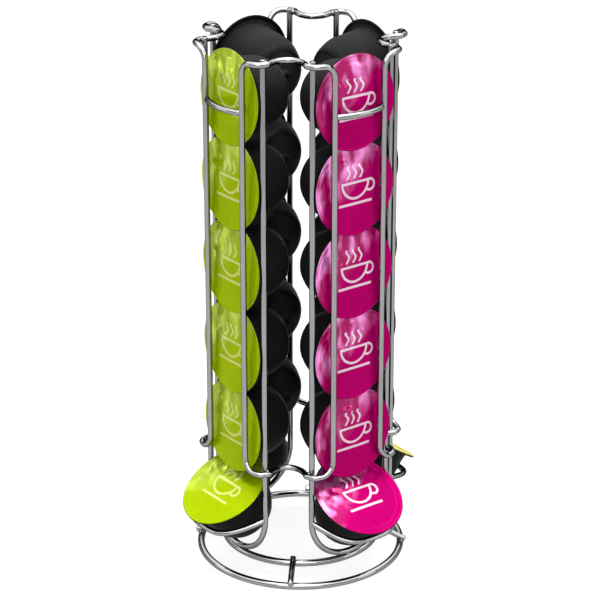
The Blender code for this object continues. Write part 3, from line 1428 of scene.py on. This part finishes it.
@dataclass(frozen=True)
class CapsuleShape:
    """The meshes of one capsule: a moulded cup and its foil lid."""

    sizes: CapsuleSizes
    side_count: int = 96
    rim_edge: float = 0.00025
    mouth_depth: float = 0.0014
    seat_depth: float = 0.0005
    seat_margin: float = 0.0006
    lip_depth: float = 0.0002
    lip_foot_inset: float = 0.0010
    lip_crest_inset: float = 0.0008
    lip_round_depth: float = 0.0003
    lip_round_share: float = 0.3
    rim_back_shares: Outline = ((1.0, 0.2), (0.3, 0.5), (0.0, 1.2))
    groove_depth: float = 0.0002
    groove_edge_inset: float = 0.0016
    groove_floor_inset: float = 0.0018
    groove_floor_margin: float = 0.0024
    fillet_outline: Outline = (
        (0.0, 0.0022),
        (0.0, 0.0016),
        (0.0002, 0.0010),
        (0.0006, 0.0005),
        (0.0013, 0.0002),
        (0.0022, 0.0),
    )
    wall_steps: int = 14
    shoulder_edge: float = 0.0004
    shoulder_round: float = 0.0030
    band_edge: float = 0.0001
    band_start: float = 0.0005
    band_finish: float = 0.0006
    band_over: tuple[float, float] = (0.0002, 0.0008)
    cone_shares: tuple[float, ...] = (0.28, 0.42, 0.56, 0.70, 0.84)
    nozzle_root_outline: Outline = ((-0.0001, 0.0006), (0.0001, -0.0004), (0.0006, -0.0009))
    nozzle_tip_outline: Outline = ((-0.0006, 0.0002), (-0.0002, 0.0), (0.0, -0.0003))
    bore_mouth_outline: Outline = ((0.0, 0.0003), (-0.0002, 0.0))
    bore_taper: float = 0.8
    drum_radius: float = 0.0222
    drum_rise: float = 0.00040
    drum_edge_drop: float = 0.00020
    drum_steps: int = 22
    bead_outline: Outline = (
        (0.00020, 0.0228),
        (0.00010, 0.0234),
        (0.00006, 0.0239),
        (0.00010, 0.0245),
        (0.00018, 0.0252),
    )
    foil_margin: float = 0.00002
    foil_edge_outline: Outline = (
        (0.00016, 0.0013),
        (0.0, 0.0008),
        (-0.00003, 0.0006),
        (0.00003, 0.00038),
        (0.00014, 0.00024),
        (0.00023, 0.00026),
    )
    seed_steps: tuple[float, float, float] = (3.1, 1.7, 0.9)
    bulge_scale: float = 70.0
    bulge_height: float = 0.00016
    crinkle_scale: float = 175.0
    crinkle_shift: float = 2.0
    crinkle_height: float = 0.00165
    crinkle_rest: float = 0.08
    crinkle_lean: float = -0.35
    crinkle_gain: float = 1.9
    crinkle_start: float = 0.35
    fade_margin: float = 0.0006
    fade_power: int = 6
    pucker_height: float = 0.00011
    pucker_reach: float = 0.0205
    pucker_width: float = 0.0026
    pucker_round_scale: float = 7.0
    pucker_out_scale: float = 60.0

    def flange_rows(self) -> Rows:
        """The cup's mouth, the foil's seat, the lip round it and the flange's back.

        Returns:
            Depth and radius from the mouth's middle over the flange to the neck.
        """
        rim, back, neck = self.sizes.rim_radius, self.sizes.rim_thickness, self.sizes.neck_radius
        edge = self.rim_edge
        rows = [
            (self.mouth_depth, 0.0),
            (self.mouth_depth, neck),
            (self.seat_depth, neck + self.seat_margin),
            (self.seat_depth, rim - self.lip_foot_inset),
            (self.lip_depth, rim - self.lip_crest_inset),
            (self.lip_depth, rim - edge),
            (self.lip_round_depth, rim - edge * self.lip_round_share),
        ]
        for depth_share, inset_share in self.rim_back_shares:
            rows.append((back - edge * depth_share, rim - edge * inset_share))
        rows += [
            (back, rim - self.groove_edge_inset),
            (back - self.groove_depth, rim - self.groove_floor_inset),
            (back - self.groove_depth, neck + self.groove_floor_margin),
        ]
        return rows

    def fillet_rows(self) -> Rows:
        """Depth and radius over the rounded foot where the wall leaves the flange."""
        back, neck = self.sizes.rim_thickness, self.sizes.neck_radius
        return [(back + run, neck + width) for run, width in self.fillet_outline]

    def wall_rows(self) -> Rows:
        """The tapering wall and the rounded shoulder.

        Returns:
            Depth and radius along them.
        """
        sizes, soft = self.sizes, self.shoulder_round
        start = sizes.rim_thickness + self.fillet_outline[-1][0]
        lean = sizes.wall_taper / (sizes.wall_depth - sizes.rim_thickness)
        steeper = sizes.shoulder_inset / sizes.shoulder_run - lean
        end = sizes.shoulder_depth - self.shoulder_edge
        rows = []
        for step in range(1, self.wall_steps + 1):
            depth = start + (end - start) * step / self.wall_steps
            radius = sizes.neck_radius - lean * (depth - sizes.rim_thickness)
            into = min(max(depth - sizes.wall_depth + soft, 0.0), 2 * soft)
            beyond = max(depth - sizes.wall_depth - soft, 0.0)
            rows.append((depth, radius - steeper * (into**2 / (4 * soft) + beyond)))
        return rows

    def band_rows(self) -> Rows:
        """The smooth band between the shoulder and the cone.

        Returns:
            Depth and radius over it.
        """
        sizes, edge = self.sizes, self.band_edge
        end_lean = sizes.end_inset / sizes.end_run
        cone_lean = (sizes.end_radius - sizes.cone_radius) / sizes.cone_run
        start, finish = self.band_start, self.band_finish
        rows = [
            (sizes.shoulder_depth - edge, sizes.shoulder_radius),
            (sizes.shoulder_depth + start, sizes.shoulder_radius - start * end_lean),
            (sizes.end_depth - finish, sizes.end_radius + finish * end_lean),
            (sizes.end_depth - edge, sizes.end_radius - edge),
        ]
        for over in self.band_over:
            rows.append((sizes.end_depth + over, sizes.end_radius - over * cone_lean))
        return rows

    def end_rows(self) -> Rows:
        """The cone, the nozzle and its bore.

        Returns:
            Depth and radius from the cone over the nozzle into the bore.
        """
        sizes = self.sizes
        rows = []
        for share in self.cone_shares:
            radius = sizes.end_radius + (sizes.cone_radius - sizes.end_radius) * share
            rows.append((sizes.end_depth + sizes.cone_run * share, radius))
        for depth, radius, outline in (
            (sizes.cone_depth, sizes.cone_radius, self.nozzle_root_outline),
            (sizes.depth, sizes.nozzle_radius, self.nozzle_tip_outline),
            (sizes.depth, sizes.bore_radius, self.bore_mouth_outline),
        ):
            rows += [(depth + run, radius + width) for run, width in outline]
        bottom = sizes.depth - sizes.bore_depth
        return rows + [(bottom, sizes.bore_radius * self.bore_taper), (bottom, 0.0)]

    def cup_mesh(self, name: str, place: Matrix) -> bpy.types.Mesh:
        """Build a cup: material 0 on the grained wall and cone, 1 on the smooth bands, whose
        darker colour is painted shade.

        Args:
            name: The mesh's name.
            place: The lid's place, with +Z out through the foil.

        Returns:
            The cup's mesh, in place.
        """
        parts = [
            (self.flange_rows(), 1),
            (self.fillet_rows(), 0),
            (self.wall_rows(), 0),
            (self.band_rows(), 1),
            (self.end_rows(), 0),
        ]
        rows = [row for part, _ in parts for row in part]
        marks = [mark for part, mark in parts for _ in part]
        mesh = self.turned(name, rows, None, place)
        for polygon in mesh.polygons:
            polygon.material_index = marks[polygon.index // self.side_count + 1]
        return mesh

    def lid_mesh(self, name: str, seed: int, place: Matrix) -> bpy.types.Mesh:
        """Build a foil: a slightly domed drum with a beaded edge, creased near its top.

        Args:
            name: The mesh's name.
            seed: Number of the crease pattern.
            place: The lid's place, with +Z out through the foil.

        Returns:
            The foil's mesh, in place.
        """
        rim = self.sizes.rim_radius - self.foil_margin
        rows = [(-self.drum_rise, 0.0)]
        for step in range(1, self.drum_steps + 1):
            share = step / self.drum_steps
            depth = (self.drum_rise + self.drum_edge_drop) * share**2 - self.drum_rise
            rows.append((depth, self.drum_radius * share))
        rows += self.bead_outline
        rows += [(depth, rim - inset) for depth, inset in self.foil_edge_outline]
        return self.turned(name, rows, seed, place)

    def creased(self, spot: Vector, seed: int) -> float:
        """Height that the creases add to the foil at one point.

        Args:
            spot: The point on the lid's plane.
            seed: Number of the crease pattern.

        Returns:
            The added height in metres.
        """
        flat = Vector((spot.x, spot.y, 0.0))
        far = flat.length
        shift = Vector([seed * step for step in self.seed_steps])
        bulge = noise.noise(flat * self.bulge_scale + shift)
        crinkle = noise.noise(flat * self.crinkle_scale + shift * self.crinkle_shift)
        lean = (spot.y + spot.x * self.crinkle_lean) / self.drum_radius
        upper = min(max(lean * self.crinkle_gain - self.crinkle_start, 0.0), 1.0)
        share = self.crinkle_rest + (1 - self.crinkle_rest) * upper
        height = bulge * self.bulge_height + crinkle * self.crinkle_height * share
        drum = max(0.0, 1 - (far / (self.drum_radius + self.fade_margin)) ** self.fade_power)
        return height * drum + self.puckered(spot, far, shift)

    def puckered(self, spot: Vector, far: float, shift: Vector) -> float:
        """Height of the fine puckers near the drum's edge.

        Args:
            spot: The point on the lid's plane.
            far: Its distance from the lid's middle.
            shift: The lid's own place in the noise.

        Returns:
            The added height in metres.
        """
        angle, about = math.atan2(spot.y, spot.x), self.pucker_round_scale
        out = far * self.pucker_out_scale
        place = Vector((math.cos(angle) * about, math.sin(angle) * about, out))
        ring = math.exp(-(((far - self.pucker_reach) / self.pucker_width) ** 2))
        return noise.noise(place + shift) * self.pucker_height * ring

    def turned(self, name: str, rows: Rows, seed: int | None, place: Matrix) -> bpy.types.Mesh:
        """Turn a profile round +Z and bring it to its place.

        Args:
            name: The mesh's name.
            rows: Depth and radius pairs; the first lies on the axis.
            seed: Number of the crease pattern, or None for no creases.
            place: The lid's place.

        Returns:
            The mesh, which keeps each point's place on the lid in an attribute.
        """
        made = bmesh.new()
        layer = made.verts.layers.float_vector.new(LID_PLANE)
        rings: list[Ring] = []
        for depth, radius in rows:
            ring = []
            for side in range(1 if radius == 0.0 else self.side_count):
                angle = 2 * math.pi * side / self.side_count
                spot = Vector((radius * math.cos(angle), radius * math.sin(angle), -depth))
                if seed is not None:
                    spot.z += self.creased(spot, seed)
                corner = made.verts.new(place @ spot)
                corner[layer] = spot
                ring.append(corner)
            rings.append(ring)
        for near, far in zip(rings, rings[1:]):
            self.bridge(made, near, far)
        for face in made.faces:
            face.smooth = True
        return finished_skin(made, name)

    def bridge(self, made: bmesh.types.BMesh, near: Ring, far: Ring) -> None:
        """Join two rings with faces.

        Args:
            made: The mesh being built.
            near: One ring of the profile, or a single point where it lies on the axis.
            far: The next ring, or a single point.
        """
        for side in range(self.side_count):
            following = (side + 1) % self.side_count
            corners = (
                near[side % len(near)],
                far[side % len(far)],
                far[following % len(far)],
                near[following % len(near)],
            )
            made.faces.new(list(dict.fromkeys(corners)))


@dataclass
class CapsuleColumns:
    """The capsules in the four channels and in their trays."""

    plan: TowerPlan
    grained: CupPlastic = CupPlastic(
        name="grained_cup_plastic",
        body=(0.012, 0.012, 0.0122),
        worn=(0.016, 0.016, 0.016),
        roughness_low=0.54,
        roughness_high=0.66,
        gloss_level=0.06,
        grain_depth=0.00003,
    )
    # Smooth plastic of the flange and shoulder band: a real smoother finish, and a colour half as
    # bright as the grained cup's, which is painted shade.
    smooth: CupPlastic = CupPlastic(
        name="smooth_painted_shade_plastic",
        body=(0.006, 0.006, 0.0061),
        worn=(0.009, 0.009, 0.009),
        roughness_low=0.34,
        roughness_high=0.42,
        gloss_level=0.06,
        grain_depth=0.00001,
    )
    pink: PrintedFoil = PrintedFoil(
        name="pink",
        body=linear_colour("ca0073"),
        deep=linear_colour("be006a"),
        ink=linear_colour("ffe6f4"),
        # Painted sheen tint of the pink lids.
        pale=linear_colour("ff9ce6"),
    )
    lime: PrintedFoil = PrintedFoil(
        name="lime",
        body=linear_colour("b8d400"),
        deep=linear_colour("acc800"),
        ink=linear_colour("eaf090"),
        # Painted sheen tint of the lime lids, shown at a smaller share.
        pale=linear_colour("dcee5a"),
        sheen_share=0.55,
    )
    yellow: PrintedFoil = PrintedFoil(
        name="yellow",
        body=linear_colour("ece000"),
        deep=linear_colour("e2d600"),
        ink=linear_colour("f7f3a8"),
        # Painted sheen tint of the yellow lids, shown at a smaller share.
        pale=linear_colour("f6f060"),
        sheen_share=0.55,
    )

    def foil(self, channel: Channel) -> PrintedFoil:
        """The foil of a channel's lids."""
        return {Channel.RIGHT: self.yellow, Channel.LEFT: self.lime}.get(channel, self.pink)

    def places(self, channel: Channel) -> dict[str, Matrix]:
        """Where a channel's lids lie: its column from the top down, then its tray.

        Args:
            channel: The channel.

        Returns:
            The place of each lid, under its capsule's packed name.
        """
        plan = self.plan
        found = {}
        for number in range(1, plan.column_count + 1):
            spot = (plan.column_reach, plan.lid_height(number), plan.column_tilt)
            found[f"{channel.label}_capsule_{number}"] = self.lid_place(channel, *spot)
        tray = (plan.tray_lid_reach, plan.tray_lid_height, plan.tray_lid_tilt)
        found[f"{channel.label}_tray_capsule"] = self.lid_place(channel, *tray)
        return found

    def build(self) -> None:
        """Build and dress every capsule."""
        shape = CapsuleShape(self.plan.capsule)
        cup_finishes = [self.grained.build(), self.smooth.build()]
        foils = {foil.name: foil.build() for foil in (self.pink, self.lime, self.yellow)}
        seed = 0
        for channel in Channel:
            name = self.foil(channel).name
            for node, place in self.places(channel).items():
                seed += 1
                cup = shape.cup_mesh(node + "_cup_skin", place)
                place_piece(node + "_cup", cup, cup_finishes, node, (node,))
                lid = shape.lid_mesh(node + "_foil_skin", seed, place)
                place_piece(node + "_lid", lid, [foils[name]], node)
                LOG.info("%s: cup and %s lid", node, name)

    def lid_place(self, channel: Channel, reach: float, height: float, tilt: float) -> Matrix:
        """Place of a lid: +Z leaves through the foil and +Y points up along it.

        Args:
            channel: The capsule's channel.
            reach: Distance of the lid's middle from the tower's axis.
            height: Height of the lid's middle.
            tilt: Angle of the lid's direction above level.

        Returns:
            The place as a matrix.
        """
        outward = Vector((math.cos(tilt), 0.0, math.sin(tilt)))
        across = Vector((0.0, 1.0, 0.0))
        upward = outward.cross(across)
        local = Matrix((across, upward, outward)).transposed().to_4x4()
        return channel.turn(4) @ Matrix.Translation((reach, 0.0, height)) @ local


@dataclass(frozen=True)
class SoftLight:
    """One area light that looks at the tower's middle."""

    name: str
    place: tuple[float, float, float]
    width: float
    height: float
    power: float
    target: tuple[float, float, float] = (0.0, 0.0, 0.16)

    def build(self) -> None:
        """Hang the light."""
        data = bpy.data.lights.new(self.name, "AREA")
        data.shape = "RECTANGLE"
        data.size = self.width
        data.size_y = self.height
        data.energy = self.power
        light = bpy.data.objects.new(self.name, data)
        bpy.context.scene.collection.objects.link(light)
        place = Vector(self.place)
        turn = (Vector(self.target) - place).to_track_quat("-Z", "Y").to_matrix().to_4x4()
        light.matrix_world = Matrix.Translation(place) @ turn
        light.visible_camera = False


@dataclass
class Studio:
    """Floor, soft lights, surroundings and the camera at the photograph's angle."""

    image_width: int = 600
    focal_pixels: float = 2426.78
    camera_distance: float = 1.28708
    camera_height: float = 0.68012
    camera_bearing: float = math.radians(37.206)
    camera_pitch: float = math.radians(22.1826)
    principal_shift: float = -0.67
    sensor_width: float = 36.0
    view_depth: float = 50.0
    floor_size: float = 9.0
    floor_squares: int = 8
    floor_gap: float = 0.0002
    back_colour: Colour = (1.0, 1.0, 1.0)
    floor_colour: Colour = (0.34, 0.34, 0.34)
    floor_glow: float = 0.86
    sky_light: float = 0.20
    mirrored_levels: tuple[tuple[float, float], ...] = (
        (0.10, 1.0),
        (0.16, 0.05),
        (0.36, 0.05),
        (0.46, 2.60),
    )
    lights: tuple[SoftLight, ...] = (
        SoftLight("top_softbox", place=(0.05, -0.05, 1.50), width=1.3, height=1.3, power=22.0),
        SoftLight("front_box", place=(0.96, -1.28, 0.46), width=0.64, height=0.26, power=2.0),
        SoftLight("left_box", place=(-1.27, 0.97, 0.46), width=0.64, height=0.26, power=2.0),
        SoftLight("camera_box", place=(-1.12, -1.40, 0.95), width=1.6, height=1.0, power=11.0),
    )

    def build(self) -> None:
        """Build the stage, the lights and the camera."""
        self.build_camera()
        self.build_world()
        self.build_floor()
        for light in self.lights:
            light.build()
        bpy.context.scene.view_settings.view_transform = "Standard"

    def build_camera(self) -> None:
        """Set the camera where the photograph was taken from."""
        data = bpy.data.cameras.new("photo_camera")
        data.sensor_width = self.sensor_width
        data.lens = self.focal_pixels / self.image_width * self.sensor_width
        data.shift_x = self.principal_shift / self.image_width
        data.clip_end = self.view_depth
        camera = bpy.data.objects.new("photo_camera", data)
        bpy.context.scene.collection.objects.link(camera)
        level = Vector((math.sin(self.camera_bearing), math.cos(self.camera_bearing), 0.0))
        forward = level * math.cos(self.camera_pitch)
        forward.z = -math.sin(self.camera_pitch)
        place = -level * self.camera_distance
        place.z = self.camera_height
        across = Vector((level.y, -level.x, 0.0))
        upward = across.cross(forward)
        turn = Matrix((across, upward, -forward)).transposed().to_4x4()
        camera.matrix_world = Matrix.Translation(place) @ turn
        bpy.context.scene.camera = camera

    def build_world(self) -> None:
        """Surroundings: white where seen, banded where metal mirrors them, soft as light."""
        world = bpy.data.worlds.new("studio_surroundings")
        world.use_nodes = True
        board = NodeBoard(world.node_tree, "OutputWorld")
        paths = board.add("LightPath")
        split = board.add("SeparateXYZ")
        board.join(board.add("TexCoord").outputs["Generated"], split.inputs[0])
        level = board.add("Mix")
        level.inputs["A"].default_value = self.sky_light
        board.join(self.mirrored_ray(board, paths), level.inputs["Factor"])
        board.join(self.mirrored_level(board, split.outputs["Z"]), level.inputs["B"])
        strength = board.math("MAXIMUM", level.outputs["Result"], paths.outputs["Is Camera Ray"])
        back = board.add("Background")
        back.inputs["Color"].default_value = (*self.back_colour, 1.0)
        board.join(strength, back.inputs["Strength"])
        board.join(back.outputs[0], board.output.inputs["Surface"])
        bpy.context.scene.world = world

    def mirrored_ray(self, board: NodeBoard, paths: bpy.types.Node) -> Socket:
        """Mark the rays that show the background in metal and glass."""
        glossy, through = paths.outputs["Is Glossy Ray"], paths.outputs["Is Transmission Ray"]
        return board.math("MAXIMUM", glossy, through)

    def mirrored_level(self, board: NodeBoard, height: Socket) -> Socket:
        """What bright metal mirrors: a white horizon, a dark band and a lit tent above it.

        Args:
            board: The surroundings' node helper.
            height: Sine of the angle above level.

        Returns:
            The mirrored level's socket.
        """
        level = self.mirrored_levels[0][1]
        for (low, before), (high, after) in zip(self.mirrored_levels, self.mirrored_levels[1:]):
            step = board.ramp(height, (low, high), (0.0, after - before))
            level = board.math("ADD", step, level)
        return level

    def build_floor(self) -> None:
        """A pale floor that goes to white and keeps the tower's shadow."""
        made = bmesh.new()
        squares, half = self.floor_squares, self.floor_size / 2
        bmesh.ops.create_grid(made, x_segments=squares, y_segments=squares, size=half)
        sheet = finished_skin(made, "floor_sheet")
        sheet.materials.append(self.paper())
        floor = bpy.data.objects.new("floor", sheet)
        floor.location.z = -self.floor_gap
        bpy.context.scene.collection.objects.link(floor)

    def paper(self) -> bpy.types.Material:
        """The floor's paper, white where the camera or bright metal sees it.

        Returns:
            The paper's material.
        """
        material = bpy.data.materials.new("pale_floor")
        material.use_nodes = True
        board = NodeBoard(material.node_tree, "OutputMaterial")
        paths = board.add("LightPath")
        mirrored = self.mirrored_ray(board, paths)
        seen = board.math("MAXIMUM", paths.outputs["Is Camera Ray"], mirrored)
        matt = board.add("BsdfDiffuse")
        matt.inputs["Color"].default_value = (*self.floor_colour, 1.0)
        glow = board.add("Emission")
        board.join(board.math("MULTIPLY", seen, self.floor_glow), glow.inputs["Strength"])
        both = board.add("AddShader")
        for shader, slot in zip((matt, glow), both.inputs):
            board.join(shader.outputs[0], slot)
        board.join(both.outputs[0], board.output.inputs["Surface"])
        return material


def main() -> None:
    """Build the tower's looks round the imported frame, piece by piece."""
    logging.basicConfig(level=logging.INFO, format="%(name)s: %(message)s")
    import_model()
    plan = TowerPlan()
    Studio().build()
    WireStand(plan).build()
    CapsuleColumns(plan).build()
    bpy.context.view_layer.update()


if __name__ == "__main__":
    main()
